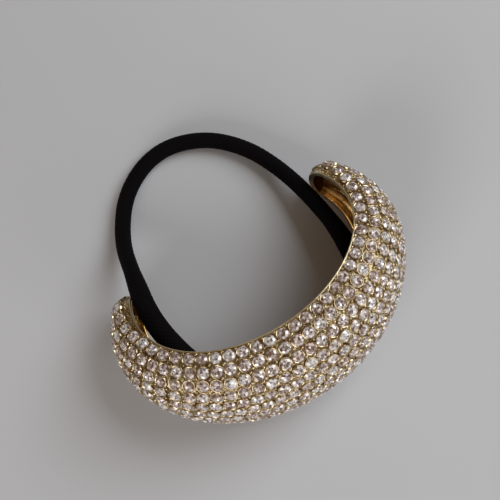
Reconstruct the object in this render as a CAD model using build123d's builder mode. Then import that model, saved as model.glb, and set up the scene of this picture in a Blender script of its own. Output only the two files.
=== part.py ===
from build123d import *

# A ponytail cuff: a domed gold cuff paved with stones, and the elastic loop that goes through it.
# The cuff is drawn round a ring axis Z with its middle at -Y, and then stood on its lower edge as it
# rests on a table. The elastic is drawn straight in the table's frame. Lengths are millimetres.

import os
from math import atan, atan2, cos, degrees, pi, radians, sin, sqrt, tan

os.makedirs("parts", exist_ok=True)

# The opening for the ponytail, seen along the ring axis
opening_half_width = 21.6
opening_half_depth = 16.1
half_span = 117.0  # degrees from the middle of the cuff to each tip

# The dome's section: tall and deep in the middle, low and shallow at the tips
middle_height = 23.3
edge_slope = 0.283  # how fast each edge closes in on the mid plane towards the tips
middle_bulge = 10.5
tip_bulge = 3.5
bulge_fade = 2.05  # a larger power keeps the bulge further towards the tips
tip_round_share = 0.08  # the last part of each arm, over which its end is rounded
tip_end_depth = 0.30  # the share of the bulge that is left at the very tip
flat_share = 0.19  # the straight start of the section, as a share of its depth
corner_share = 0.80  # the shoulder's radius, as a share of the depth that is left
most_rise = 0.95  # of half the height; where the dome is deeper, its sides run straight for longer

# The casting
wall = 1.1
lip_width = 0.25
lip_relief = 0.45  # the lip stands this far above the field that the stones sit on
lip_foot = 0.1  # the least flat stretch of field beside the lip
mouth_cut = 4.0  # how far the hollow's cutter reaches in front of the mouth

# The bars across the hollow that hold the elastic
bar_diameter = 1.6
bar_angle = 32.0
bar_inset = 0.9  # from the mouth of the hollow to the bar's axis

# The stones
stone_diameter = 2.10
stone_back = 1.75
stone_table = 1.22
stone_facets = 8
glue = 0.11
girdle_height = 0.22  # above the field
stone_pitch = 2.42  # along a row
stone_clearance = 0.12  # the least gap between two neighbours
search_step = 0.05  # how far a stone shifts along its row at a time, until it is clear
slope_step = 0.02  # degrees and millimetres to each side of a seat, where its slope is read
row_spacing = 2.26
first_row = 1.40  # from the edge to the first row's middle
band_width = 1.6  # the bare band inside the lip grows to this at the tips
band_start = 0.68  # the share of each arm at which that band starts

# The elastic
elastic_diameter = 3.1
arc_share = 0.45  # of the shorter run beside each corner
route = [
    (-0.1, -12.2, 12.6),
    (-7.6, -12.0, 12.5),
    (-15.1, -7.4, 11.2),
    (-18.3, 2.6, 10.5),
    (-19.2, 11.1, 10.3),
    (-17.5, 18.6, 8.8),
    (-15.7, 26.6, 1.8),
    (-9.7, 34.1, 1.6),
    (-0.7, 37.3, 1.6),
    (7.9, 34.5, 1.6),
    (13.9, 28.1, 1.6),
    (16.9, 19.9, 2.6),
    (17.8, 11.4, 5.9),
    (17.7, 3.0, 9.2),
    (15.7, -6.6, 11.2),
    (8.2, -11.9, 12.5),
    (0.1, -12.2, 12.6),
]


def tip_roundness(angle):
    """1 along the cuff, falling to 0 at each tip as a quarter ellipse does."""
    past = max(abs(angle) / half_span - (1 - tip_round_share), 0) / tip_round_share
    return sqrt(max(1 - past**2, 0))


def edge_height(angle):
    """Half the cuff's height. Each edge lies in one plane, apart from its rounded ends."""
    closing = edge_slope * opening_half_depth * (1 - cos(radians(angle)))
    return (middle_height / 2 - closing) * tip_roundness(angle)


def bulge(angle):
    """How far the dome stands out from the opening."""
    faded = 1 - (abs(angle) / half_span) ** bulge_fade
    full = tip_bulge + (middle_bulge - tip_bulge) * faded
    return full * (tip_end_depth + (1 - tip_end_depth) * tip_roundness(angle))


def place(angle, outwards=0.0, height=0.0):
    """A point this far out from the oval mouth of the hollow and above the mid plane."""
    a = radians(angle)
    return Vector(
        (opening_half_width + outwards) * sin(a),
        -(opening_half_depth + outwards) * cos(a),
        height,
    )


def section_plane(angle):
    """Local X points out of the cuff and local Y along the ring axis."""
    a = radians(angle)
    return Plane(place(angle), x_dir=(sin(a), -cos(a), 0), z_dir=(-cos(a), -sin(a), 0))


class Arch:
    """Half of a dome's outline: a straight start, a shoulder arc and a crown arc."""

    def __init__(self, half_height, depth, least_start=0.0):
        self.half_height = half_height
        self.start = max(flat_share * depth, least_start, depth - most_rise * half_height)
        rise = depth - self.start
        self.shoulder = corner_share * min(rise, half_height)
        self.crown = (half_height**2 - 2 * half_height * self.shoulder + rise**2) / (
            2 * (rise - self.shoulder)
        )
        self.shoulder_y = half_height - self.shoulder
        self.crown_x = depth - self.crown
        self.turn = atan2(self.shoulder_y, self.start - self.crown_x)
        self.shoulder_length = self.shoulder * (pi / 2 - self.turn)
        self.length = self.start + self.shoulder_length + self.crown * self.turn

    def draw_arcs(self):
        """Both shoulders and the crown, in a BuildLine."""
        turn = degrees(self.turn)
        CenterArc((self.start, self.shoulder_y), self.shoulder, turn, 90 - turn)
        CenterArc((self.crown_x, 0), self.crown, -turn, 2 * turn)
        CenterArc((self.start, -self.shoulder_y), self.shoulder, -90, 90 - turn)

    def at(self, along):
        """Outwards and height of the point this far along the outline from the mouth."""
        if along <= self.start:
            return along, self.half_height
        bent = along - self.start
        if bent <= self.shoulder_length:
            a = pi / 2 - bent / self.shoulder
            return self.start + self.shoulder * cos(a), self.shoulder_y + self.shoulder * sin(a)
        a = self.turn - (bent - self.shoulder_length) / self.crown
        return self.crown_x + self.crown * cos(a), self.crown * sin(a)


def field(angle):
    """The outline that the stones sit on."""
    height = edge_height(angle) - lip_relief
    return Arch(height, bulge(angle) - lip_relief, least_start=lip_width + lip_foot)


def hollow(angle):
    """The outline of the hollow, one wall inside the field."""
    cover = lip_relief + wall
    return Arch(edge_height(angle) - cover, bulge(angle) - cover)


def dome_section(angle):
    """The dome's section with its lip, closed across the mouth."""
    edge = edge_height(angle)
    dome = field(angle)
    top = dome.half_height
    with BuildSketch(section_plane(angle)) as section:
        with BuildLine():
            Polyline(
                (dome.start, top),
                (lip_width, top),
                (lip_width, edge),
                (0, edge),
                (0, -edge),
                (lip_width, -edge),
                (lip_width, -top),
                (dome.start, -top),
            )
            dome.draw_arcs()
        make_face()
    return section.sketch


def hollow_section(angle):
    """The hollow's section, which runs out in front of the mouth."""
    inside = hollow(angle)
    top = inside.half_height
    with BuildSketch(section_plane(angle)) as section:
        with BuildLine():
            Polyline(
                (inside.start, top),
                (-mouth_cut, top),
                (-mouth_cut, -top),
                (inside.start, -top),
            )
            inside.draw_arcs()
        make_face()
    return section.sketch


# The shell: three lofts make the dome, three more cut its hollow, and two bars are soldered across
arm_shares = (0.20, 0.40, 0.60, 0.76, 1 - tip_round_share)
dome_tip_shares = (1 - tip_round_share, 0.95, 0.98, 0.995)
hollow_tip_shares = (1 - tip_round_share, 0.94, 0.96)
body_angles = [side * share * half_span for side in (-1, 1) for share in arm_shares]
body_angles = sorted(body_angles + [0.0])

with BuildPart() as shell:
    loft([dome_section(angle) for angle in body_angles])
    for side in (-1, 1):
        loft([dome_section(side * share * half_span) for share in dome_tip_shares])
    loft([hollow_section(angle) for angle in body_angles], mode=Mode.SUBTRACT)
    for side in (-1, 1):
        inner = [hollow_section(side * share * half_span) for share in hollow_tip_shares]
        loft(inner, mode=Mode.SUBTRACT)
    bar_length = 2 * (field(bar_angle).half_height - wall / 2)
    with Locations(*(place(side * bar_angle, outwards=bar_inset) for side in (-1, 1))):
        Cylinder(bar_diameter / 2, bar_length)
shell.part.label = "shell"


def field_point(angle, along):
    """A point on the upper half of the field, this far along its outline from the mouth."""
    outwards, height = field(angle).at(along)
    return place(angle, outwards, height)


def bare_band(angle):
    """How much further the first row stands from the edge, near the tips."""
    past = (abs(angle) / half_span - band_start) / (1 - band_start)
    return band_width * max(past, 0)


def seat_plane(angle, along):
    """A stone's seat: local Z points off the field, and local X along the row."""
    before, after = angle - slope_step, angle + slope_step
    along_row = field_point(after, along) - field_point(before, along)
    nearer, further = along - slope_step, along + slope_step
    down_dome = field_point(angle, further) - field_point(angle, nearer)
    return Plane(field_point(angle, along), x_dir=along_row, z_dir=down_dome.cross(along_row))


def row_of_seats(row, side, taken):
    """Seats from the middle of the cuff to one tip, each clear of those that are taken."""
    found = []
    middle_radius = opening_half_width**2 / opening_half_depth
    half_pitch = degrees(stone_pitch / 2 / middle_radius)
    angle = side * half_pitch * (row % 2)
    while abs(angle) < half_span:
        along = first_row + row * row_spacing + bare_band(angle)
        if along > field(angle).length:
            break
        here = field_point(angle, along)
        if all((here - other).length >= stone_diameter + stone_clearance for other in taken):
            taken.append(here)
            found.append(seat_plane(angle, along))
            advance = stone_pitch
        else:
            advance = search_step
        mm_per_degree = (field_point(angle + 1, along) - here).length
        angle += side * advance / mm_per_degree
    return found


taken = []
seats = []
row_count = int((field(0).length - first_row) / row_spacing) + 1
for row in range(row_count):
    for side in (-1, 1):
        seats += row_of_seats(row, side, taken)

with BuildPart() as stone:
    for size, height in (
        (stone_back, glue),
        (stone_diameter, girdle_height),
        (stone_table, lip_relief),
    ):
        with BuildSketch(Plane.XY.offset(height)):
            RegularPolygon(size / 2, stone_facets)
    loft(ruled=True)

with BuildPart() as stones:
    with Locations(*seats):
        add(stone.part)
stones.part.label = "stones"

# The elastic: straight runs joined by tangent arcs, each as large as its runs allow
points = [Vector(point) for point in route]
runs = [after - before for before, after in zip(points, points[1:])]
radii = []
for before, after in zip(runs, runs[1:]):
    half_turn = radians(before.get_angle(after)) / 2
    radii.append(arc_share * min(before.length, after.length) / tan(half_turn))

with BuildPart() as elastic:
    with BuildLine() as path:
        FilletPolyline(*points, radius=radii)
    with BuildSketch(Plane(points[0], z_dir=runs[0])):
        Circle(elastic_diameter / 2)
    sweep()
elastic.part.label = "elastic"

# Stand the cuff on its lower edge, with the middle of its footprint at the origin
tilt = Location((0, 0, 0), (-degrees(atan(edge_slope)), 0, 0))
box = Compound([shell.part, stones.part]).moved(tilt).bounding_box()
stand = Location((0, -(box.min.Y + box.max.Y) / 2, -box.min.Z)) * tilt
shell.part.move(stand)
stones.part.move(stand)

length = sum(edge.length for edge in path.edges())
section_area = pi * elastic_diameter**2 / 4
print("stones", len(seats), "rows", row_count)
print("elastic length", round(length, 1), "arc radii", [round(radius, 1) for radius in radii])
print("elastic volume over section times length", elastic.part.volume / (section_area * length))
print("stand", stand)

for piece in (shell, stones, elastic):
    export_step(piece.part, f"parts/{piece.part.label}.step")
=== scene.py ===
# %% [markdown]
# A ponytail cuff and its elastic
#
# The real cuff is a cast, gold plated dome. Round glass stones are set all over its outside, and a black
# elastic goes through its hollow and round the hair. The imported CAD model fixes every size and place, so
# it is loaded first.

# %% Load the frame
import math

import bmesh
import bpy
import numpy as np
from mathutils import Matrix, Vector
from mathutils.kdtree import KDTree


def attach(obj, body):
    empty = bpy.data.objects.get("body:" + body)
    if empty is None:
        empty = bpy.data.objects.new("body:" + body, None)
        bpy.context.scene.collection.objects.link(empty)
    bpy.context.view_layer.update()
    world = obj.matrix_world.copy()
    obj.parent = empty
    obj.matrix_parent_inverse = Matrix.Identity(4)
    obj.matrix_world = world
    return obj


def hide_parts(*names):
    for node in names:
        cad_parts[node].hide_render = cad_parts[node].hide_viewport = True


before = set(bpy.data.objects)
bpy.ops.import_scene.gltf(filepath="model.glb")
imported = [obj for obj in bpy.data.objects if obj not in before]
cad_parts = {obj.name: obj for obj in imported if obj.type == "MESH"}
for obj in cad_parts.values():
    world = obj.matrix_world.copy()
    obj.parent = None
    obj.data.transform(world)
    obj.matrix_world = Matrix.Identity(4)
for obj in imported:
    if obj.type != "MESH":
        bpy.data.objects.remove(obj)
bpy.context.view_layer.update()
MM = 0.001

# %% [markdown]
# The camera
#
# The photo looks almost straight down on the table, from about 20 cm. A camera is placed by three facts:
# where it stands, what it looks at, and which way is up in the picture. Two cross products then give its
# axes, which is plainer than turning it by angles when it looks nearly straight down.

# %% Set up the camera
camera = bpy.data.objects.new("camera", bpy.data.cameras.new("camera"))
bpy.context.scene.collection.objects.link(camera)
bpy.context.scene.camera = camera
camera.data.sensor_width = 36
camera.data.lens = 76.06
camera.data.clip_start = 0.01
camera_place = Vector((-15.933, -7.664, 197.106)) * MM
looks_at = Vector((2.328, 10.817, 10.0)) * MM
picture_up = Vector((0.5632, 0.8151, 0.1355))
back = (camera_place - looks_at).normalized()
right = picture_up.cross(back).normalized()
turned = Matrix((right, back.cross(right), back)).transposed().to_4x4()
camera.matrix_world = Matrix.Translation(camera_place) @ turned
print("camera height in mm:", round(camera_place.z / MM, 1))

# %% [markdown]
# The elastic's line
#
# The elastic is one soft loop. Both its ends meet in the middle of the hollow, where a drop of glue holds
# them, and past the tips it comes down and lies on the table. A NURBS curve with few control points
# bends the way such a cord does, without kinks. Order 3 and the end points are set after the points exist.

# %% Draw the line that the elastic follows
ELASTIC_DIAMETER = 3.1 * MM
ELASTIC_ROUTE = [
    (-0.00001, -0.0122, 0.0126),
    (-0.0076, -0.0120, 0.0125),
    (-0.0151, -0.0074, 0.0112),
    (-0.0183, 0.0026, 0.0105),
    (-0.0192, 0.0111, 0.0103),
    (-0.0175, 0.0186, 0.0088),
    (-0.0157, 0.0266, 0.0018),
    (-0.0097, 0.0341, 0.0016),
    (-0.0007, 0.0373, 0.0016),
    (0.0079, 0.0345, 0.0016),
    (0.0139, 0.0281, 0.0016),
    (0.0169, 0.0199, 0.0026),
    (0.0178, 0.0114, 0.0059),
    (0.0177, 0.0030, 0.0092),
    (0.0157, -0.0066, 0.0112),
    (0.0082, -0.0119, 0.0125),
    (0.00001, -0.0122, 0.0126),
]


def nurbs_points(name, route):
    """The points that Blender gives for a smooth line with this route as its control points."""
    curve = bpy.data.curves.new(name, "CURVE")
    curve.dimensions = "3D"
    spline = curve.splines.new("NURBS")
    spline.points.add(len(route) - 1)
    for control, point in zip(spline.points, route):
        control.co = (*point, 1)
    spline.order_u = 3
    spline.use_endpoint_u = True
    spline.resolution_u = 24
    line = bpy.data.objects.new(name, curve)
    bpy.context.scene.collection.objects.link(line)
    evaluated = line.evaluated_get(bpy.context.evaluated_depsgraph_get())
    mesh = bpy.data.meshes.new_from_object(evaluated)
    points = [vertex.co.copy() for vertex in mesh.vertices]
    bpy.data.objects.remove(line)
    bpy.data.meshes.remove(mesh)
    return points


elastic_path = nurbs_points("elastic_line", ELASTIC_ROUTE)
measured = sum((b - a).length for a, b in zip(elastic_path, elastic_path[1:]))
print("elastic line in mm:", round(measured / MM, 1), "with", len(elastic_path), "points")

# %% [markdown]
# The dome's rule
#
# The cuff is symmetric, so its shape is a short rule. Seen from above it follows an oval from tip to tip.
# Its section is tall and deep in the middle and small at the tips, and it is an arch of a straight start,
# a shoulder arc and a crown arc. The same rule later gives the places of the stones, so they can't float.

# %% State the dome's sizes and its outline
# Lengths are in millimetres, and the span is in degrees from the middle to a tip. The edge's slope, the
# fade's power and the shares have no unit.
OPENING_HALF_WIDTH = 21.6
OPENING_HALF_DEPTH = 16.1
HALF_SPAN = 117.0
MIDDLE_HEIGHT = 23.3
EDGE_SLOPE = 0.283
MIDDLE_BULGE = 10.5
TIP_BULGE = 3.5
BULGE_FADE = 2.05
TIP_ROUND_SHARE = 0.08
TIP_END_DEPTH = 0.30
FLAT_SHARE = 0.19
CORNER_SHARE = 0.80
WALL = 1.1
LIP_WIDTH = 0.25
LIP_RELIEF = 0.45
LIP_FOOT = 0.1


def rounding(share, start, end):
    """1 up to start, then down to 0 at end as a quarter ellipse falls."""
    past = min(max((abs(share) - start) / (end - start), 0), 1)
    return math.sqrt(1 - past**2)


def edge_height(share):
    """Half the cuff's height at this share of the way to a tip, in millimetres."""
    closing = EDGE_SLOPE * OPENING_HALF_DEPTH * (1 - math.cos(math.radians(share * HALF_SPAN)))
    return (MIDDLE_HEIGHT / 2 - closing) * rounding(share, 1 - TIP_ROUND_SHARE, 1)


def bulge(share):
    """How far the dome stands out from the oval opening."""
    full = TIP_BULGE + (MIDDLE_BULGE - TIP_BULGE) * (1 - abs(share) ** BULGE_FADE)
    roundness = rounding(share, 1 - TIP_ROUND_SHARE, 1)
    return full * (TIP_END_DEPTH + (1 - TIP_END_DEPTH) * roundness)


class Arch:
    """Half of a section's outline, from the mouth of the hollow to the middle of the dome."""

    def __init__(self, half_height, depth, least_start=0.0):
        self.half_height = half_height
        self.start = max(FLAT_SHARE * depth, least_start)
        rise = depth - self.start
        self.shoulder = CORNER_SHARE * min(rise, half_height)
        self.crown = (half_height**2 - 2 * half_height * self.shoulder + rise**2) / (
            2 * (rise - self.shoulder)
        )
        self.shoulder_y = half_height - self.shoulder
        self.crown_x = depth - self.crown
        self.turn = math.atan2(self.shoulder_y, self.start - self.crown_x)
        self.shoulder_length = self.shoulder * (math.pi / 2 - self.turn)
        self.length = self.start + self.shoulder_length + self.crown * self.turn

    def at(self, along):
        """Outwards and height, this far along the outline from the mouth."""
        if along <= self.start:
            return along, self.half_height
        bent = along - self.start
        if bent <= self.shoulder_length:
            a = math.pi / 2 - bent / self.shoulder
            return (
                self.start + self.shoulder * math.cos(a),
                self.shoulder_y + self.shoulder * math.sin(a),
            )
        a = self.turn - (bent - self.shoulder_length) / self.crown
        return self.crown_x + self.crown * math.cos(a), self.crown * math.sin(a)


def field(share):
    """The outline that the stones sit on."""
    return Arch(edge_height(share) - LIP_RELIEF, bulge(share) - LIP_RELIEF, LIP_WIDTH + LIP_FOOT)


def hollow(share):
    """The outline of the hollow, one wall inside the field."""
    cover = LIP_RELIEF + WALL
    return Arch(edge_height(share) - cover, bulge(share) - cover)


print("outline over the middle in mm:", round(2 * field(0).length, 1))

# %% [markdown]
# From the rule to the table
#
# The rule is written round the cuff's own axis. On the table the cuff lies on its lower edge, and that
# tips it a little towards the elastic. One turn and one shift carry every point there, so each piece is
# worked out in millimetres and only its last step knows about the table.

# %% Carry points to the table
TIP_OVER = math.atan(EDGE_SLOPE)
STAND_SHIFT = Vector((0.0, 8.70464, 6.84626))
to_table = Matrix.Rotation(-TIP_OVER, 3, "X")


def place(share, outwards, height):
    """A point this far out from the oval opening, before the cuff is stood on the table."""
    a = math.radians(share * HALF_SPAN)
    across = (OPENING_HALF_WIDTH + outwards) * math.sin(a)
    return Vector((across, -(OPENING_HALF_DEPTH + outwards) * math.cos(a), height))


def on_table(point):
    """The same point in the row frame, in metres."""
    return (to_table @ point + STAND_SHIFT) * MM


def link(name, mesh):
    """A new object at the origin, with its place in its mesh."""
    made = bpy.data.objects.new(name, mesh)
    bpy.context.scene.collection.objects.link(made)
    return made


lowest = min(on_table(place(share, 0, -edge_height(share))).z for share in (0, 0.4, 0.8))
print("lower lip over the table in mm:", round(lowest / MM, 3))

# %% [markdown]
# The cast shell
#
# The casting is one closed skin: over the dome, round each lip and back through the hollow. It could be
# sculpted, but its sections follow the rule, so it is drawn as a net of sections. Each section has the
# same number of points, and neighbours are joined by quads. Where a section closes at a tip, its points
# meet, and merging the doubles leaves a clean pole. Four finishes differ: the upper lip, the crown of the
# field, darker as painted shade between the stones, its sides with the bare bands at the tips, and the
# hollow with the lower lip, deep amber as painted shade.

# %% Draw one section
# The profiles are outwards and upwards: the lip's from its edge, and the rim's from the hollow's wall.
FIELD_STEPS = 40
HOLLOW_STEPS = 26
TIP_CAP_START = 0.985
TIP_CAP_DEPTH = 0.4
HOLLOW_ROUND = (0.94, 0.975)
LIP_PROFILE = ((0.25, -0.07), (0.225, -0.02), (0.17, 0.0), (0.09, 0.0), (0.03, -0.03), (0.0, -0.10))
RIM_REACH = 0.10
RIM_PROFILE = ((0.0, 0.12), (0.03, 0.04), (RIM_REACH, 0.0))
BAND_WIDTH = 1.6
BAND_START = 0.68
# The slots of the finishes: the lip, the field's crown with painted shade, its sides, and the hollow with
# painted shade.
LIP_FACES, CROWN_SHADE_FACES, BAND_FACES, HOLLOW_SHADE_FACES = range(4)
CROWN_STEPS = 22


def bare_band(share):
    """How much wider the band between the lip and the stones is here, near the tips."""
    return BAND_WIDTH * max((abs(share) - BAND_START) / (1 - BAND_START), 0)


def capped(share):
    """The share whose outline is drawn here, and how far the very end of the arm closes it."""
    return math.copysign(min(abs(share), TIP_CAP_START), share), rounding(share, TIP_CAP_START, 1)


def closed(outwards, height, cap):
    """A point of the outline, moved as the very end of the arm closes to a line."""
    return outwards * (TIP_CAP_DEPTH + (1 - TIP_CAP_DEPTH) * cap), height * cap


def half_section(share):
    """Outwards and height of the upper half's points, from the crown to the back of the hollow."""
    drawn, cap = capped(share)
    edge, dome = edge_height(drawn), field(drawn)
    points = []
    for step in range(FIELD_STEPS + 1):
        points.append(dome.at(dome.length + (LIP_WIDTH - dome.length) * step / FIELD_STEPS))
    points += [(out, edge + drop) for out, drop in LIP_PROFILE]
    points = [closed(out, height, cap) for out, height in points]
    inner_share = math.copysign(min(abs(share), HOLLOW_ROUND[0]), share)
    inner, closing = hollow(inner_share), rounding(share, *HOLLOW_ROUND)
    top = inner.half_height * closing
    points += [(out * closing, top + rise * closing) for out, rise in RIM_PROFILE]
    for step in range(1, HOLLOW_STEPS + 1):
        out, height = inner.at(RIM_REACH + (inner.length - RIM_REACH) * step / HOLLOW_STEPS)
        points.append((out * closing, height * closing))
    return points


def whole_section(share):
    """The closed section: the upper half, then its mirror image."""
    upper = half_section(share)
    return upper + [(out, -height) for out, height in upper[-2:0:-1]]


def section_slots():
    """The slot of each point of a section, the same in every section. The lower lip has the hollow's
    painted shade.
    """
    upper = [CROWN_SHADE_FACES] * CROWN_STEPS + [BAND_FACES] * (FIELD_STEPS + 1 - CROWN_STEPS)
    upper += [LIP_FACES] * (len(LIP_PROFILE) + len(RIM_PROFILE)) + [HOLLOW_SHADE_FACES] * HOLLOW_STEPS
    return upper + [HOLLOW_SHADE_FACES if slot == LIP_FACES else slot for slot in upper[-2:0:-1]]


print("points in a section:", len(whole_section(0)))

# %% Join the sections into the shell
SLOT_ORDER = (LIP_FACES, HOLLOW_SHADE_FACES, BAND_FACES, CROWN_SHADE_FACES)
ARM_STEPS = 84
TIP_STEPS = 22
SAME_POINT, SHORT_EDGE = 1e-6, 1e-7
SHARP_ANGLE = math.radians(40)


def shell_stations():
    """Shares from tip to tip, close together where the tips are rounded."""
    round_start = 1 - TIP_ROUND_SHARE
    arm = [round_start * step / ARM_STEPS for step in range(ARM_STEPS + 1)]
    turns = [math.pi / 2 * step / TIP_STEPS for step in range(1, TIP_STEPS + 1)]
    half = arm + [round_start + TIP_ROUND_SHARE * math.sin(turn) for turn in turns]
    return [-share for share in half[:0:-1]] + half


def join_sections(name, stations):
    """A mesh with one ring of points for each station, and the slot of each of its faces."""
    rings = [[on_table(place(share, *point)) for point in whole_section(share)] for share in stations]
    slots = section_slots()
    count = len(slots)
    faces, face_slots = [], []
    for ring in range(len(rings) - 1):
        for at in range(count):
            after = (at + 1) % count
            low, high = ring * count, (ring + 1) * count
            faces.append((low + at, low + after, high + after, high + at))
            face_slots.append(min(slots[at], slots[after], key=SLOT_ORDER.index))
    mesh = bpy.data.meshes.new(name)
    mesh.from_pydata([point for ring in rings for point in ring], [], faces)
    mesh.polygons.foreach_set("material_index", face_slots)
    return mesh


BAR_DIAMETER = 1.6
BAR_SHARE = 32.0 / HALF_SPAN
BAR_INSET = 0.9
BAR_SIDES = 32


def add_bar(skin, side):
    """A round bar from wall to wall of the hollow, which keeps the elastic in."""
    reach = field(BAR_SHARE).half_height - WALL / 2
    middle = place(side * BAR_SHARE, BAR_INSET, 0)
    made = bmesh.ops.create_cone(
        skin,
        cap_ends=True,
        segments=BAR_SIDES,
        radius1=BAR_DIAMETER / 2,
        radius2=BAR_DIAMETER / 2,
        depth=2 * reach,
    )
    for vertex in made["verts"]:
        vertex.co = on_table(vertex.co + middle)
    # The bars take the hollow's gold, with its painted shade.
    for face in {face for vertex in made["verts"] for face in vertex.link_faces}:
        face.material_index = HOLLOW_SHADE_FACES


shell_mesh = join_sections("cast_shell", shell_stations())
skin = bmesh.new()
skin.from_mesh(shell_mesh)
bmesh.ops.remove_doubles(skin, verts=skin.verts, dist=SAME_POINT)
bmesh.ops.dissolve_degenerate(skin, edges=skin.edges, dist=SHORT_EDGE)
for side in (-1, 1):
    add_bar(skin, side)
bmesh.ops.recalc_face_normals(skin, faces=skin.faces)
for face in skin.faces:
    face.smooth = True
open_edges = sum(edge.is_boundary for edge in skin.edges)
skin.to_mesh(shell_mesh)
skin.free()
shell_mesh.set_sharp_from_angle(angle=SHARP_ANGLE)
cast_shell = link("cast_shell", shell_mesh)
print("cast shell faces:", len(shell_mesh.polygons), "open edges:", open_edges)

# %% [markdown]
# The seats
#
# A setter lays the stones row by row from the upper lip, over the crown and down to the lower lip, and
# steps along each row by one stone and a little room. The outer rows are longer, so they hold more
# stones, and neighbours drift in and out of step, as they do on the real cuff. The seats are found by
# the same walk, from the middle to each tip. A last search fills any hole that still has room, and sets a
# few smaller stones on the crests of the tips.

# %% Walk the rows
STONE_DIAMETER = 2.10
STONE_PITCH = 2.42
STONE_CLEARANCE = 0.12
SEARCH_STEP = 0.05
SLOPE_STEP = 0.02
ROW_SPACING = 2.26
FIRST_ROW = 1.40


def field_point(share, along):
    """A point on the field, this far along its outline from the upper lip, over the crown if need be."""
    drawn, cap = capped(share)
    dome = field(drawn)
    half = 1 if along <= dome.length else -1
    outwards, height = dome.at(along if half > 0 else 2 * dome.length - along)
    outwards, height = closed(outwards, height, cap)
    return place(share, outwards, half * height)


def outwards_at(share, along):
    """The direction that points straight off the field."""
    turn = SLOPE_STEP / HALF_SPAN
    row_way = field_point(share + turn, along) - field_point(share - turn, along)
    dome_way = field_point(share, along + SLOPE_STEP) - field_point(share, along - SLOPE_STEP)
    return dome_way.cross(row_way).normalized()


def first_along(share):
    """How far from a lip the nearest row's stones are: further at the tips, which have a bare band."""
    return FIRST_ROW + bare_band(share)


def over_field(share):
    """The length of the field's whole outline here, from lip to lip."""
    return 2 * field(capped(share)[0]).length


def last_along(share):
    """How far from the upper lip the last stones before the lower lip are."""
    return over_field(share) - first_along(share)


def row_of_seats(row, side, taken):
    """Seats along one row from the middle to a tip, as (share, along)."""
    found = []
    middle_radius = OPENING_HALF_WIDTH**2 / OPENING_HALF_DEPTH
    half_pitch = math.degrees(STONE_PITCH / 2 / middle_radius)
    angle = side * half_pitch * (row % 2)
    while abs(angle) < HALF_SPAN:
        share = angle / HALF_SPAN
        along = first_along(share) + row * ROW_SPACING
        if along > last_along(share):
            break
        here = field_point(share, along)
        least = STONE_DIAMETER + STONE_CLEARANCE
        clear = all((here - other).length >= least for other in taken)
        if clear:
            taken.append(here)
            found.append((share, along))
        mm_per_degree = (field_point(share + 1 / HALF_SPAN, along) - here).length
        angle += side * (STONE_PITCH if clear else SEARCH_STEP) / mm_per_degree
    return found


taken, seats = [], []
row_count = int((last_along(0) - FIRST_ROW) / ROW_SPACING) + 1
for row in range(row_count):
    for side in (-1, 1):
        seats += row_of_seats(row, side, taken)
print("rows:", row_count, "seats in rows:", len(seats))

# %% Fill the holes that are left
FILL_STEP = 0.25
STATION_STEP = 0.5
LAST_STATION = 0.996
CREST_SHARE = 0.55
SMALL_SHARE = 0.80


def tip_first(share):
    """As first_along, with room for small stones on the crest at the very tips."""
    return min(first_along(share), CREST_SHARE * over_field(share) / 2)


def tip_last(share):
    """As last_along, on the same terms."""
    return over_field(share) - tip_first(share)


def spread_over_field(step, first, last):
    """Many places on the field, as (share, along), at this step from first(share) to last(share)."""
    spread = []
    last_station = int(HALF_SPAN / STATION_STEP)
    for station in range(-last_station, last_station + 1):
        share = station * STATION_STEP / HALF_SPAN
        if abs(share) < LAST_STATION:
            spread += [(share, along) for along in np.arange(first(share), last(share), step)]
    return spread


def fill_holes(spread, taken, least):
    """The places of the spread that are clear of all that are taken, which they join."""
    found = []
    centres = np.array([tuple(centre) for centre in taken])
    for spot in spread:
        here = np.array(field_point(*spot))
        if np.linalg.norm(centres - here, axis=1).min() >= least:
            centres = np.vstack((centres, here))
            taken.append(Vector(here))
            found.append(spot)
    return found


spread = spread_over_field(FILL_STEP, first_along, last_along)
extra = fill_holes(spread, taken, STONE_DIAMETER + STONE_CLEARANCE)
spread = spread_over_field(FILL_STEP, tip_first, tip_last)
small = fill_holes(spread, taken, (1 + SMALL_SHARE) / 2 * STONE_DIAMETER + STONE_CLEARANCE)
stone_sizes = [1.0] * len(seats + extra) + [SMALL_SHARE] * len(small)
seats += extra + small
print("seats in holes:", len(extra), "small ones:", len(small), "seats in all:", len(seats))

# %% [markdown]
# Geometry Nodes for what repeats
#
# Hundreds of stones, bezels and grains are the same shape in many places, so each is drawn once and
# instanced on points. A points mesh carries what differs: which way is out, and how large the piece is.
# The tree turns each instance that way, spins it by a seeded random angle, makes it real and gives it its
# material. One small class writes the trees, here and for the materials: it wraps a socket, and sums
# and products of it add their Math nodes.

# %% Wrap a socket so that trees read as sums
class Wire:
    """One output of a node. Arithmetic on it adds nodes to its tree."""

    def __init__(self, tree, socket=None):
        self.tree = tree
        self.socket = socket

    def node(self, kind, settings=None, inputs=None, output=0):
        """Any node of this tree: its type, its settings, and the values or links of its sockets."""
        made = self.tree.nodes.new(kind)
        for name, value in (settings or {}).items():
            setattr(made, name, value)
        for name, value in (inputs or {}).items():
            if isinstance(value, Wire):
                self.tree.links.new(value.socket, made.inputs[name])
            else:
                made.inputs[name].default_value = value
        return Wire(self.tree, made.outputs[output] if made.outputs else None)

    def math(self, operation, *others):
        """A Math node whose first value is this one."""
        values = dict(enumerate((self, *others)))
        return self.node("ShaderNodeMath", {"operation": operation}, values)

    def __add__(self, other):
        return self.math("ADD", other)

    def __sub__(self, other):
        return self.math("SUBTRACT", other)

    def __rsub__(self, other):
        return (self * -1) + other

    def __mul__(self, other):
        return self.math("MULTIPLY", other)

    def __pow__(self, other):
        return self.math("POWER", other)


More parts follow.
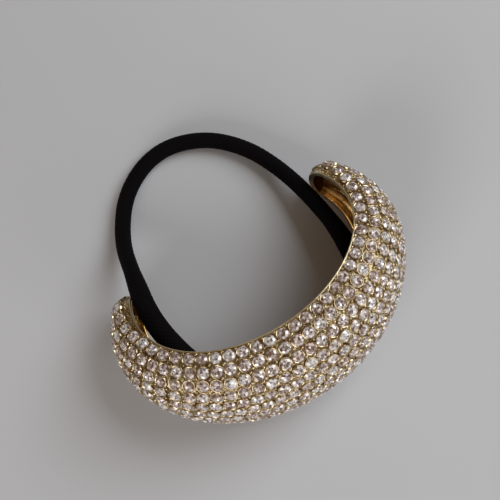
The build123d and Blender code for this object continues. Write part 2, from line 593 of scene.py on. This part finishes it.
def geometry_tree(name, given):
    """A node group with a geometry input and output and these named numbers, objects or materials."""
    tree = bpy.data.node_groups.new(name, "GeometryNodeTree")
    kinds = {float: "NodeSocketFloat", int: "NodeSocketInt"}
    tree.interface.new_socket("Geometry", in_out="INPUT", socket_type="NodeSocketGeometry")
    for label, value in given.items():
        kind = kinds.get(type(value), f"NodeSocket{type(value).__name__}")
        tree.interface.new_socket(label, in_out="INPUT", socket_type=kind)
    tree.interface.new_socket("Geometry", in_out="OUTPUT", socket_type="NodeSocketGeometry")
    ins = tree.nodes.new("NodeGroupInput")
    return tree, {socket.name: Wire(tree, socket) for socket in ins.outputs if socket.name}


def run_tree(tree, name, start_mesh, given):
    """Runs the tree on a mesh, and gives the result as an object with a plain mesh."""
    start = link(name, start_mesh)
    modifier = start.modifiers.new("made", "NODES")
    modifier.node_group = tree
    for item in tree.interface.items_tree:
        if item.in_out == "INPUT" and item.name in given:
            modifier[item.identifier] = given[item.name]
    evaluated = start.evaluated_get(bpy.context.evaluated_depsgraph_get())
    mesh = bpy.data.meshes.new_from_object(evaluated)
    mesh.name = name
    start.modifiers.clear()
    start.data = mesh
    return start


print("helpers:", [helper.__name__ for helper in (Wire, geometry_tree, run_tree)])

# %% Make the tree that sets a piece on each point
# A Random Value node has several sockets of one name, so they are given by number: 0 and 1 are the least
# and the most of a vector, 3 is the most of a number, and 8 is the seed.
LEAN = math.radians(4)


def setting_tree(name, given, smooth):
    """Instances a piece on each point, turned outwards and spun, with a random painted flash on each face.
    """
    tree, ins = geometry_tree(name, given)
    here = Wire(tree)
    vector = {"data_type": "FLOAT_VECTOR"}
    outwards = here.node("GeometryNodeInputNamedAttribute", vector, {"Name": "outwards"})
    size = here.node("GeometryNodeInputNamedAttribute", {"data_type": "FLOAT"}, {"Name": "size"})
    turned = here.node("FunctionNodeAlignRotationToVector", {"axis": "Z"}, {"Vector": outwards})
    angle = here.node("FunctionNodeRandomValue", {"data_type": "FLOAT"}, {3: math.tau, 8: ins["Seed"]}, 1)
    spin = here.node("FunctionNodeAxisAngleToRotation", {}, {"Axis": (0, 0, 1), "Angle": angle})
    spun = here.node("FunctionNodeRotateRotation", {"rotation_space": "LOCAL"}, {0: turned, 1: spin})
    lean = here.node(
        "FunctionNodeRandomValue",
        {"data_type": "FLOAT_VECTOR"},
        {0: (-LEAN, -LEAN, 0), 1: (LEAN, LEAN, 0), 8: ins["Seed"] + 3},
    )
    leant = here.node("FunctionNodeRotateRotation", {"rotation_space": "LOCAL"}, {0: spun, 1: lean})
    # Each piece's random tint, which also adds to a stone's painted flash.
    tint = here.node("FunctionNodeRandomValue", {"data_type": "FLOAT"}, {8: ins["Seed"] + 1}, 1)
    tinted = here.node(
        "GeometryNodeStoreNamedAttribute",
        {"data_type": "FLOAT", "domain": "POINT"},
        {"Geometry": ins["Geometry"], "Name": "piece_tint", "Value": tint},
    )
    piece = here.node("GeometryNodeObjectInfo", {}, {"Object": ins["Piece"]}, "Geometry")
    placed = here.node(
        "GeometryNodeInstanceOnPoints",
        {},
        {"Points": tinted, "Instance": piece, "Rotation": leant, "Scale": size},
    )
    real = here.node("GeometryNodeRealizeInstances", {}, {"Geometry": placed})
    # A random share of each facet's painted flash.
    tone = here.node("FunctionNodeRandomValue", {"data_type": "FLOAT"}, {8: ins["Seed"] + 2}, 1)
    toned = here.node(
        "GeometryNodeStoreNamedAttribute",
        {"data_type": "FLOAT", "domain": "FACE"},
        {"Geometry": real, "Name": "facet_tone", "Value": tone},
    )
    shaded = here.node("GeometryNodeSetShadeSmooth", {}, {"Geometry": toned, "Shade Smooth": smooth})
    dressed = here.node("GeometryNodeSetMaterial", {}, {"Geometry": shaded, "Material": ins["Material"]})
    here.node("NodeGroupOutput", {}, {"Geometry": dressed})
    return tree


def points_mesh(name, spots, sizes):
    """A mesh of bare points on the field, with the outward direction and the size of each."""
    mesh = bpy.data.meshes.new(name)
    mesh.from_pydata([on_table(field_point(*spot)) for spot in spots], [], [])
    ways = [axis for spot in spots for axis in to_table @ outwards_at(*spot)]
    mesh.attributes.new("outwards", "FLOAT_VECTOR", "POINT").data.foreach_set("vector", ways)
    mesh.attributes.new("size", "FLOAT", "POINT").data.foreach_set("value", sizes)
    return mesh


def set_on_field(name, piece, spots, sizes, material, seed, smooth):
    """Sets a copy of the piece on each spot of the field, and gives them as one object."""
    given = {"Piece": piece, "Material": material, "Seed": seed}
    tree = setting_tree(name + "_setting", given, smooth)
    made = run_tree(tree, name, points_mesh(name + "_points", spots, sizes), given)
    bpy.data.objects.remove(piece)
    print(name, len(spots), "pieces,", len(made.data.polygons), "faces")
    return made


print("each piece leans up to", round(math.degrees(LEAN)), "degrees")

# %% [markdown]
# Gold
#
# Cast zinc with thin gold plating is a metal whose colour changes a little: it is paler where hands and
# cloth rub it, and deeper in the corners where the bath leaves more. Principled metal with a slow noise
# between two golds gives that, a second noise changes the polish, and a fine bump is the cast skin. Five
# such golds differ: the bright lip, the bezels and grains, the rougher sides of the field with the bare
# bands, its crown, darker between the stones as painted shade, and the deep amber of the hollow, painted
# shade with the painted colour of light that has gone from wall to wall.

# %% Mix the golds
# Waves in a metre: of the plating's shade, of its polish and of the cast skin
PLATING_WAVES, POLISH_WAVES, SKIN_WAVES = 700.0, 1500.0, 4200.0
PLATING_GAIN, PLATING_SHIFT = 2.2, -0.6
SKIN_STRENGTH = 0.5


def new_material(name):
    """An empty material with its output, and a wire to add nodes from."""
    material = bpy.data.materials.new(name)
    material.use_nodes = True
    material.node_tree.nodes.clear()
    return material, Wire(material.node_tree)


def finish_material(here, inputs):
    """Adds the Principled shader with these inputs, and joins it to the output."""
    surface = here.node("ShaderNodeBsdfPrincipled", {}, inputs)
    here.node("ShaderNodeOutputMaterial", {}, {"Surface": surface})


def noise(here, spot, scale, detail=2.0, rough=0.5):
    """A noise of this many waves in a metre."""
    return here.node(
        "ShaderNodeTexNoise", {}, {"Vector": spot, "Scale": scale, "Detail": detail, "Roughness": rough}
    )


def mix_colours(here, factor, first, second):
    """A blend of two colours, by a wire from 0 to 1."""
    return here.node("ShaderNodeMix", {"data_type": "RGBA"}, {0: factor, 6: first, 7: second}, 2)


def gold(name, pale, deep, polish, spread, cast_depth):
    """Plated gold between two shades, with this roughness, its spread and the depth of its cast skin."""
    material, here = new_material(name)
    spot = here.node("ShaderNodeTexCoord", {}, {}, "Object")
    cloud = noise(here, spot, PLATING_WAVES).math("MULTIPLY_ADD", PLATING_GAIN, PLATING_SHIFT)
    plating = cloud.math("MAXIMUM", 0.0).math("MINIMUM", 1.0)
    shade = mix_colours(here, plating, (*deep, 1), (*pale, 1))
    rough = noise(here, spot, POLISH_WAVES) * spread + polish
    skin = noise(here, spot, SKIN_WAVES, 3.0)
    relief = {"Strength": SKIN_STRENGTH, "Distance": cast_depth, "Height": skin}
    bump = here.node("ShaderNodeBump", {}, relief)
    finish_material(here, {"Base Color": shade, "Metallic": 1.0, "Roughness": rough, "Normal": bump})
    return material


lip_gold = gold("lip_gold", (0.94, 0.88, 0.64), (0.74, 0.64, 0.38), 0.24, 0.16, 0.00003)
bezel_gold = gold("bezel_gold", (0.74, 0.66, 0.47), (0.31, 0.20, 0.095), 0.18, 0.12, 0.00003)
band_gold = gold("band_gold", (0.62, 0.52, 0.30), (0.22, 0.15, 0.06), 0.28, 0.20, 0.00020)
# The crown's gold is darker between the stones as painted shade.
crown_shade_gold = gold("crown_shade_gold", (0.30, 0.23, 0.12), (0.12, 0.08, 0.035), 0.28, 0.20, 0.00006)
# The hollow's gold, which the lower lip and the bars share, is deep amber as painted shade and the painted
# colour of light bounced from wall to wall.
hollow_shade_gold = gold("hollow_shade_gold", (0.96, 0.62, 0.24), (0.40, 0.20, 0.06), 0.16, 0.14, 0.00002)
for metal in (lip_gold, crown_shade_gold, band_gold, hollow_shade_gold):
    cast_shell.data.materials.append(metal)
print("golds:", [metal.name for metal in cast_shell.data.materials])

# %% [markdown]
# The cut stones
#
# Each stone is a small round brilliant with foil behind it. Its crown has a table, stars, kites and the
# small triangles at the girdle, and what flashes is each facet showing another part of the room. Real
# refraction in hundreds of tiny stones renders as noise, so the flashes are painted: the facets are shaded
# under a clear coat, and each has its own painted tone between dark and bright, a painted reflection of
# the foil behind it seen through the stone.

# %% Cut one stone
# Radii and heights are in millimetres, and the height is over the field.
FOIL_RADIUS, GIRDLE_RADIUS, MIDDLE_RADIUS, TABLE_RADIUS = 0.86, 1.01, 0.80, 0.54
FOIL_HEIGHT, GIRDLE_LOW, GIRDLE_HIGH, MIDDLE_STEP, TABLE_STEP = 0.10, 0.24, 0.29, 0.44, 0.60
HEART_STEP = 0.47
STONE_SIDES, GIRDLE_SIDES = 8, 16
# How bright each facet is painted, a painted reflection: table, star, kite and two girdle triangles, in
# turn. The foil and the girdle are painted darker, as shade where the stone sits in its bezel.
FACET_PAINTED_FLASH = ((0.7, 0.3, 0.9, 0.2, 0.6), (0.2, 0.6, 0.4, 0.7, 0.2))
FOIL_PAINTED_SHADE, GIRDLE_PAINTED_SHADE = 0.0, 0.1


def ring(count, radius, height, shift=0.0):
    """Points round a circle in metres, with the first one this share of a step further on."""
    turns = [(step + shift) * math.tau / count for step in range(count)]
    return [(radius * math.cos(a) * MM, radius * math.sin(a) * MM, height * MM) for a in turns]


def cut_stone():
    """A brilliant crown over a short foiled back, as a mesh of flat facets."""
    table = ring(STONE_SIDES, TABLE_RADIUS, TABLE_STEP)
    middle = ring(STONE_SIDES, MIDDLE_RADIUS, MIDDLE_STEP, 0.5)
    high = ring(GIRDLE_SIDES, GIRDLE_RADIUS, GIRDLE_HIGH)
    low = ring(GIRDLE_SIDES, GIRDLE_RADIUS, GIRDLE_LOW)
    foil = ring(GIRDLE_SIDES, FOIL_RADIUS, FOIL_HEIGHT)
    points = [(0, 0, HEART_STEP * MM)] + table + middle + high + low + foil
    # The first point of the table, the middle, the girdle's top, its bottom and the foil
    t, m, g = 1, 1 + STONE_SIDES, 1 + 2 * STONE_SIDES
    b, f = g + GIRDLE_SIDES, g + 2 * GIRDLE_SIDES
    faces = [tuple(range(f + GIRDLE_SIDES - 1, f - 1, -1))]
    for k in range(STONE_SIDES):
        n, last = (k + 1) % STONE_SIDES, (k - 1) % STONE_SIDES
        left, right, after = 2 * k, 2 * k + 1, (2 * k + 2) % GIRDLE_SIDES
        faces.append((0, t + k, t + n))
        faces.append((t + k, m + k, t + n))
        faces.append((t + k, m + last, g + left, m + k))
        faces.append((m + k, g + left, g + right))
        faces.append((m + k, g + right, g + after))
    for k in range(GIRDLE_SIDES):
        n = (k + 1) % GIRDLE_SIDES
        faces.append((g + k, b + k, b + n, g + n))
        faces.append((b + k, f + k, f + n, b + n))
    mesh = bpy.data.meshes.new("cut_stone")
    mesh.from_pydata(points, [], faces)
    # Each face's painted flash from the cut, with the foil and girdle painted darker as shade.
    facets = [tone for k in range(STONE_SIDES) for tone in FACET_PAINTED_FLASH[k % 2]]
    tones = [FOIL_PAINTED_SHADE] + facets + [GIRDLE_PAINTED_SHADE] * (2 * GIRDLE_SIDES)
    mesh.attributes.new("cut_painted_flash", "FLOAT", "FACE").data.foreach_set("value", tones)
    return link("cut_stone", mesh)


print("the table is", round(TABLE_RADIUS / GIRDLE_RADIUS, 2), "of the stone's width")

# %% Make the crystal and set the stones
# Weights of the facets' painted flash: the random share, the cut's and the stone's, less a darkening.
CHANCE_WEIGHT, CUT_WEIGHT, TINT_WEIGHT, DARKER = 1.2, 0.8, 0.4, 0.75
TONE_CURVE = 1.3


def crystal():
    """Foiled glass: facets painted between dark and bright as painted reflections, with a faint tint that
    differs by the stone.
    """
    material, here = new_material("foiled_crystal")
    chance = here.node("ShaderNodeAttribute", {"attribute_name": "facet_tone"}, {}, "Fac")
    cut = here.node("ShaderNodeAttribute", {"attribute_name": "cut_painted_flash"}, {}, "Fac")
    tint = here.node("ShaderNodeAttribute", {"attribute_name": "piece_tint"}, {}, "Fac")
    # The stone's tint also lifts its painted flash.
    summed = chance * CHANCE_WEIGHT + cut * CUT_WEIGHT + tint * TINT_WEIGHT - DARKER
    tone = summed.math("MAXIMUM", 0.0).math("MINIMUM", 1.0)
    light = mix_colours(here, tint, (0.99, 0.90, 0.89, 1), (0.91, 0.92, 0.92, 1))
    dark = mix_colours(here, tint, (0.20, 0.12, 0.08, 1), (0.14, 0.085, 0.07, 1))
    finish_material(
        here,
        {
            "Base Color": mix_colours(here, tone**TONE_CURVE, dark, light),
            "Metallic": 0.15,
            "Roughness": tone * 0.05 + 0.04,
            "Coat Weight": 0.8,
            "Coat Roughness": 0.02,
        },
    )
    return material


stones = set_on_field("cut_stones", cut_stone(), seats, stone_sizes, crystal(), seed=7, smooth=False)

# %% [markdown]
# Bezels and grains
#
# Every stone sits in a seat whose thin gold wall is pressed over its girdle, and where three stones meet,
# the setter leaves a small gold grain. Towards the tips the rows leave the lip, and the bare band between
# has only fine grains. They go where the nearest stones are furthest away, so the widest gaps come first.

# %% Set the bezels
# The profile is radius and height in millimetres, from over the girdle to below the field.
BEZEL_SIDES = 16
BEZEL_PROFILE = ((0.97, 0.29), (0.99, 0.345), (1.08, 0.39), (1.15, 0.42), (1.19, 0.37), (1.22, -0.05))


def bezel():
    """The pressed wall round a stone, as a ring with a small profile."""
    points = [point for radius, height in BEZEL_PROFILE for point in ring(BEZEL_SIDES, radius, height)]
    faces = []
    for level in range(len(BEZEL_PROFILE) - 1):
        for k in range(BEZEL_SIDES):
            n = (k + 1) % BEZEL_SIDES
            low, high = level * BEZEL_SIDES, (level + 1) * BEZEL_SIDES
            faces.append((low + k, high + k, high + n, low + n))
    mesh = bpy.data.meshes.new("bezel")
    mesh.from_pydata(points, [], faces)
    return link("bezel", mesh)


bezels = set_on_field("bezels", bezel(), seats, stone_sizes, bezel_gold, seed=11, smooth=True)

# %% Find the gaps and set the grains
GRAIN_STEP = 0.16
GRAIN_SPACING, BAND_GRAIN_SPACING = 0.85, 0.46
BAND_GRAIN_SHARE = 0.5
LEAST_GRAIN, LARGEST_GRAIN = 0.18, 0.36
GRAIN_FROM_LIP = 0.2
GRAIN_SEED = 5
GRAIN_SIDES = 8
GRAIN_PROFILE = ((1.0, -0.2), (0.98, 0.25), (0.80, 0.66), (0.42, 0.93))
GRAIN_TOP = 1.02
FAR_AWAY = 1e6


def first_grain(share):
    """How far from the lip the outermost grains are: the same all along."""
    return LIP_WIDTH + GRAIN_FROM_LIP


def last_grain(share):
    """How far from the upper lip the last grains before the lower lip are."""
    return 2 * field(share).length - first_grain(share)


def find_gaps():
    """Spots between the stones, the widest gaps first, and the radius of a grain that fits each."""
    tree = KDTree(len(seats))
    for at, seat in enumerate(seats):
        tree.insert(field_point(*seat), at)
    tree.balance()
    open_spots = []
    for spot in spread_over_field(GRAIN_STEP, first_grain, last_grain):
        here = field_point(*spot)
        room = tree.find(here)[2] - STONE_DIAMETER / 2
        if room > LEAST_GRAIN:
            open_spots.append((min(room, LARGEST_GRAIN), tuple(here), spot))
    chances = np.random.default_rng(GRAIN_SEED).random(len(open_spots))
    order = sorted(range(len(open_spots)), key=lambda at: (-round(open_spots[at][0], 2), chances[at]))
    kept, chosen, radii = np.full((1, 3), FAR_AWAY), [], []
    for radius, here, spot in (open_spots[at] for at in order):
        from_lip = min(spot[1], 2 * field(spot[0]).length - spot[1])
        in_band = from_lip < first_along(spot[0]) - STONE_DIAMETER / 2 - LEAST_GRAIN
        spacing = BAND_GRAIN_SPACING if in_band else GRAIN_SPACING
        if np.linalg.norm(kept - here, axis=1).min() >= spacing:
            kept = np.vstack((kept, here))
            chosen.append(spot)
            radii.append(radius * BAND_GRAIN_SHARE if in_band else radius)
    return chosen, radii


def grain():
    """A round bead of unit radius, a little taller than half a ball."""
    points = [point for radius, height in GRAIN_PROFILE for point in ring(GRAIN_SIDES, radius, height)]
    points.append((0, 0, GRAIN_TOP * MM))
    faces = []
    for level in range(len(GRAIN_PROFILE) - 1):
        for k in range(GRAIN_SIDES):
            n = (k + 1) % GRAIN_SIDES
            low, high = level * GRAIN_SIDES, (level + 1) * GRAIN_SIDES
            faces.append((low + k, low + n, high + n, high + k))
    last = (len(GRAIN_PROFILE) - 1) * GRAIN_SIDES
    faces += [(last + k, last + (k + 1) % GRAIN_SIDES, len(points) - 1) for k in range(GRAIN_SIDES)]
    mesh = bpy.data.meshes.new("grain")
    mesh.from_pydata(points, [], faces)
    return link("grain", mesh)


grain_spots, grain_radii = find_gaps()
grains = set_on_field("grains", grain(), grain_spots, grain_radii, bezel_gold, seed=13, smooth=True)

# %% [markdown]
# The braided elastic
#
# The elastic is rubber under a tight braid of black yarn. The tube is swept along the line's points, and
# its surface is raised where a strand crosses over, which makes the small diamonds of a braid. The tree
# keeps how far round and how far along each point is, so the raised diamonds and the yarns follow the
# cord through every bend. Up in the hollow and at the tips the cord is bunched, and a quarter thicker.

# %% Make the braid
# BRAID_ROUND diamonds go round the cord. Over the table, from HELD_LOW to HELD_HIGH, it grows thicker.
TUBE_SIDES = 60
TUBE_STEP = 0.2 * MM
BRAID_ROUND = 12
BRAID_LENGTH = 0.95 * MM
BRAID_DEPTH = 0.10 * MM
HELD_LOW, HELD_HIGH = 7.0 * MM, 10.5 * MM
THINNER, THICKER = 0.02, 0.25
SEAM_WELD = 1e-7


def braid_height(around, along, rounds, cell):
    """1 on top of a strand and 0 between strands, from the shares round and the length along."""
    across = around * rounds
    down = along * (1 / cell)
    one = ((across + down) * math.pi).math("SINE").math("ABSOLUTE")
    other = ((across - down) * math.pi).math("SINE").math("ABSOLUTE")
    return (one * other).math("SQRT")


def braid_tree(name, given):
    """Sweeps a circle along the line, stores its UV map and raises the strands."""
    tree, ins = geometry_tree(name, given)
    here = Wire(tree)

    def stored(geometry, label, value, kind="FLOAT", domain="POINT"):
        settings = {"data_type": kind, "domain": domain}
        return here.node(
            "GeometryNodeStoreNamedAttribute",
            settings,
            {"Geometry": geometry, "Name": label, "Value": value},
        )

    def named(label):
        return here.node("GeometryNodeInputNamedAttribute", {"data_type": "FLOAT"}, {"Name": label})

    curve = here.node("GeometryNodeMeshToCurve", {}, {"Mesh": ins["Geometry"]})
    steps = {"Curve": curve, "Length": ins["Step"]}
    even = here.node("GeometryNodeResampleCurve", {"mode": "LENGTH"}, steps)
    place_of_point = here.node("GeometryNodeInputPosition")
    off_table = here.node("ShaderNodeSeparateXYZ", {}, {0: place_of_point}, "Z")
    swell = here.node(
        "ShaderNodeMapRange",
        {"interpolation_type": "SMOOTHSTEP"},
        {"Value": off_table, 1: HELD_LOW, 2: HELD_HIGH, 3: 1.0 - THINNER, 4: 1.0 + THICKER},
    )
    length = here.node("GeometryNodeSplineParameter", {}, {}, "Length")
    share = here.node("GeometryNodeSplineParameter", {}, {}, "Factor")
    circle = here.node(
        "GeometryNodeCurveArc",
        {"mode": "RADIUS"},
        {
            "Resolution": TUBE_SIDES + 1,
            "Radius": ins["Radius"],
            "Start Angle": 0.0,
            "Sweep Angle": math.tau,
        },
    )
    tube = here.node(
        "GeometryNodeCurveToMesh",
        {},
        {
            "Curve": stored(even, "along", length),
            "Profile Curve": stored(circle, "around", share),
            "Scale": swell,
        },
    )
    scaled = named("along") * (1 / (math.pi * ELASTIC_DIAMETER))
    flat = here.node("ShaderNodeCombineXYZ", {}, {"X": named("around"), "Y": scaled})
    mapped = stored(tube, "UVMap", flat, "FLOAT2", "CORNER")
    welded = here.node("GeometryNodeMergeByDistance", {}, {"Geometry": mapped, "Distance": SEAM_WELD})
    height = braid_height(named("around"), named("along"), BRAID_ROUND, BRAID_LENGTH)
    lift = here.node(
        "ShaderNodeVectorMath",
        {"operation": "SCALE"},
        {0: here.node("GeometryNodeInputNormal"), "Scale": (height - 1.0) * ins["Depth"]},
    )
    raised = here.node("GeometryNodeSetPosition", {}, {"Geometry": welded, "Offset": lift})
    smooth = here.node("GeometryNodeSetShadeSmooth", {}, {"Geometry": raised})
    dressed = here.node("GeometryNodeSetMaterial", {}, {"Geometry": smooth, "Material": ins["Material"]})
    here.node("NodeGroupOutput", {}, {"Geometry": dressed})
    return tree


print("braid:", BRAID_ROUND, "diamonds round, each", BRAID_LENGTH / MM, "mm long")

# %% Dye the yarn and sweep the elastic
FILAMENTS = 5
FUZZ_WAVES = 6000.0
YARN_DEPTH = 0.00006


def yarn():
    """Matte black yarn with a faint plum tint, its filaments running with each strand, and painted sheen
    on the strands.
    """
    material, here = new_material("black_yarn")
    flat = here.node("ShaderNodeUVMap", {"uv_map": "UVMap"})
    around = here.node("ShaderNodeSeparateXYZ", {}, {0: flat}, "X")
    along = here.node("ShaderNodeSeparateXYZ", {}, {0: flat}, "Y") * (math.pi * ELASTIC_DIAMETER)
    height = braid_height(around, along, BRAID_ROUND, BRAID_LENGTH)
    across, down = around * BRAID_ROUND, along * (1 / BRAID_LENGTH)
    one, other = across + down, across - down
    over = (one.math("FLOOR") + other.math("FLOOR")).math("MODULO", 2.0).math("ABSOLUTE")
    way = one * over + other * (1 - over)
    filaments = (way * (math.tau * FILAMENTS)).math("SINE") * 0.5 + 0.5
    fuzz = noise(here, here.node("ShaderNodeTexCoord", {}, {}, "Object"), FUZZ_WAVES, 4.0, 0.7)
    relief = height * 0.7 + filaments * 0.35 + fuzz * 0.4
    bump = here.node("ShaderNodeBump", {}, {"Strength": 0.8, "Distance": YARN_DEPTH, "Height": relief})
    # The strands' crests and filaments are painted lighter and the grooves between them darker, as painted
    # sheen and shade; the fuzz is the yarn's own unevenness.
    strand_sheen_and_fuzz = (height * 0.5 + filaments * 0.25 + fuzz * 0.35).math("MINIMUM", 1.0)
    shade = mix_colours(here, strand_sheen_and_fuzz, (0.0006, 0.0005, 0.0007, 1), (0.0045, 0.0035, 0.0045, 1))
    finish_material(
        here,
        {
            "Base Color": shade,
            "Roughness": fuzz * 0.2 + 0.7,
            "Specular IOR Level": 0.06,
            "Sheen Weight": 0.01,
            "Sheen Roughness": 0.5,
            "Normal": bump,
        },
    )
    return material


def line_mesh(name, points):
    """The points as a mesh of edges, one after the other."""
    mesh = bpy.data.meshes.new(name)
    mesh.from_pydata(points, [(at, at + 1) for at in range(len(points) - 1)], [])
    return mesh


def close_ends(mesh):
    """Fills the tube's two open ends, which are glued together in the hollow."""
    work = bmesh.new()
    work.from_mesh(mesh)
    bmesh.ops.holes_fill(work, edges=[edge for edge in work.edges if edge.is_boundary])
    bmesh.ops.recalc_face_normals(work, faces=work.faces)
    work.to_mesh(mesh)
    work.free()


elastic_given = {
    "Step": TUBE_STEP,
    "Radius": ELASTIC_DIAMETER / 2,
    "Depth": BRAID_DEPTH,
    "Material": yarn(),
}
elastic = run_tree(
    braid_tree("braid", elastic_given),
    "braided_elastic",
    line_mesh("elastic_line", elastic_path),
    elastic_given,
)
close_ends(elastic.data)
print("elastic faces:", len(elastic.data.polygons))

# %% [markdown]
# What each piece stands for
#
# The cuff has no joints, so all of it rides on the one body.

for piece in (cast_shell, stones, bezels, grains, elastic):
    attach(piece, "root")
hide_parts("shell")
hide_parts("stones")
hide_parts("elastic")
print("declared:", [piece.name for piece in (cast_shell, stones, bezels, grains, elastic)])

# %% [markdown]
# The table and the light
#
# The cuff lies on a plain pale table by a large window at the right. One wide area light is the window,
# and weaker ones are a doorway at the left, a small lamp overhead and the low wall that the dome faces.
# The world fills the rest with warm light, which gives the shade inside the arms its brown. Wide lights
# give the soft shadow, and their edges are what the facets and the polished gold reflect.

# %% Lay the table and hang the lights
TABLE_REACH = 1.5
CLOUD_WAVES = 9.0


def table_material():
    """Pale satin board with a very faint unevenness."""
    material, here = new_material("pale_table")
    spot = here.node("ShaderNodeTexCoord", {}, {}, "Object")
    cloud = noise(here, spot, CLOUD_WAVES, 3.0)
    shade = mix_colours(here, cloud, (0.49, 0.515, 0.545, 1), (0.55, 0.57, 0.595, 1))
    finish_material(here, {"Base Color": shade, "Roughness": 0.55, "Specular IOR Level": 0.3})
    return material


def table_top():
    """A wide flat board under the cuff."""
    mesh = bpy.data.meshes.new("table_top")
    corners = [(x * TABLE_REACH, y * TABLE_REACH, 0) for x, y in ((-1, -1), (1, -1), (1, 1), (-1, 1))]
    mesh.from_pydata(corners, [], [(0, 1, 2, 3)])
    mesh.materials.append(table_material())
    return link("table_top", mesh)


def area_light(name, spot, size, power, colour):
    """A square light at this spot that shines at the cuff."""
    light = bpy.data.lights.new(name, "AREA")
    light.shape = "SQUARE"
    light.size, light.energy, light.color = size, power, colour
    hung = bpy.data.objects.new(name, light)
    bpy.context.scene.collection.objects.link(hung)
    hung.location = spot
    hung.rotation_euler = (Vector(spot) * -1).to_track_quat("-Z", "Y").to_euler()


def room_world():
    """Warm light from all round, which a camera that looks past the table sees as a pale wall."""
    world = bpy.data.worlds.new("room")
    world.use_nodes = True
    world.node_tree.nodes.clear()
    here = Wire(world.node_tree)
    warm = here.node("ShaderNodeBackground", {}, {"Color": (1.0, 0.68, 0.43, 1), "Strength": 0.16})
    pale = here.node("ShaderNodeBackground", {}, {"Color": (0.62, 0.63, 0.64, 1), "Strength": 0.5})
    seen = here.node("ShaderNodeLightPath", {}, {}, "Is Camera Ray")
    both = here.node("ShaderNodeMixShader", {}, {0: seen, 1: warm, 2: pale})
    here.node("ShaderNodeOutputWorld", {}, {"Surface": both})
    return world


table_top()
area_light("window", (0.47, 0.02, 0.46), 0.46, 3.1, (0.97, 1.0, 1.03))
area_light("doorway", (-0.46, -0.24, 0.22), 0.32, 1.6, (1.0, 0.97, 0.96))
area_light("lamp", (-0.12, 0.10, 0.60), 0.08, 0.08, (1.0, 0.97, 0.94))
area_light("low_wall", (0.08, -0.50, 0.14), 0.24, 0.5, (1.0, 1.0, 1.0))
bpy.context.scene.world = room_world()
bpy.context.scene.view_settings.view_transform = "Standard"
